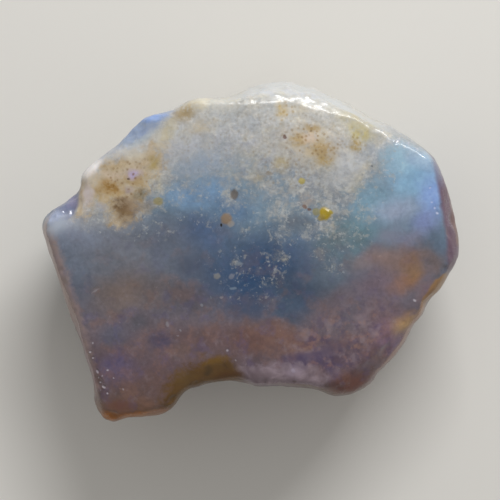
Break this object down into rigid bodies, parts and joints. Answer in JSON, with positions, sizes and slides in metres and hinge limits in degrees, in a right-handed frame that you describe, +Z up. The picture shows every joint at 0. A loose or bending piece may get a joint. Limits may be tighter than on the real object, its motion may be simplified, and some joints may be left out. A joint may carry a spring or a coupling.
{
  "type": "rough opal stone",
  "caption": "Rough fire opal: one translucent chipped stone with a rubbed, gently domed face, a pale sandy crust along one edge, and a flat back to rest on.",
  "frame": {"origin": "under the middle of the stone's box, on the surface that its flat back rests on", "axes": "+X to the right across the face, along the longest extent; +Y across the face towards its pale crusted edge; +Z up out of the face"},
  "size_m": [0.0301, 0.0246, 0.0102],
  "materials": {
    "opal": "translucent, glossy, rubbed but not cut"
  },
  "bodies": {
    "root": {"opal": "opal"}
  },
  "joints": []
}
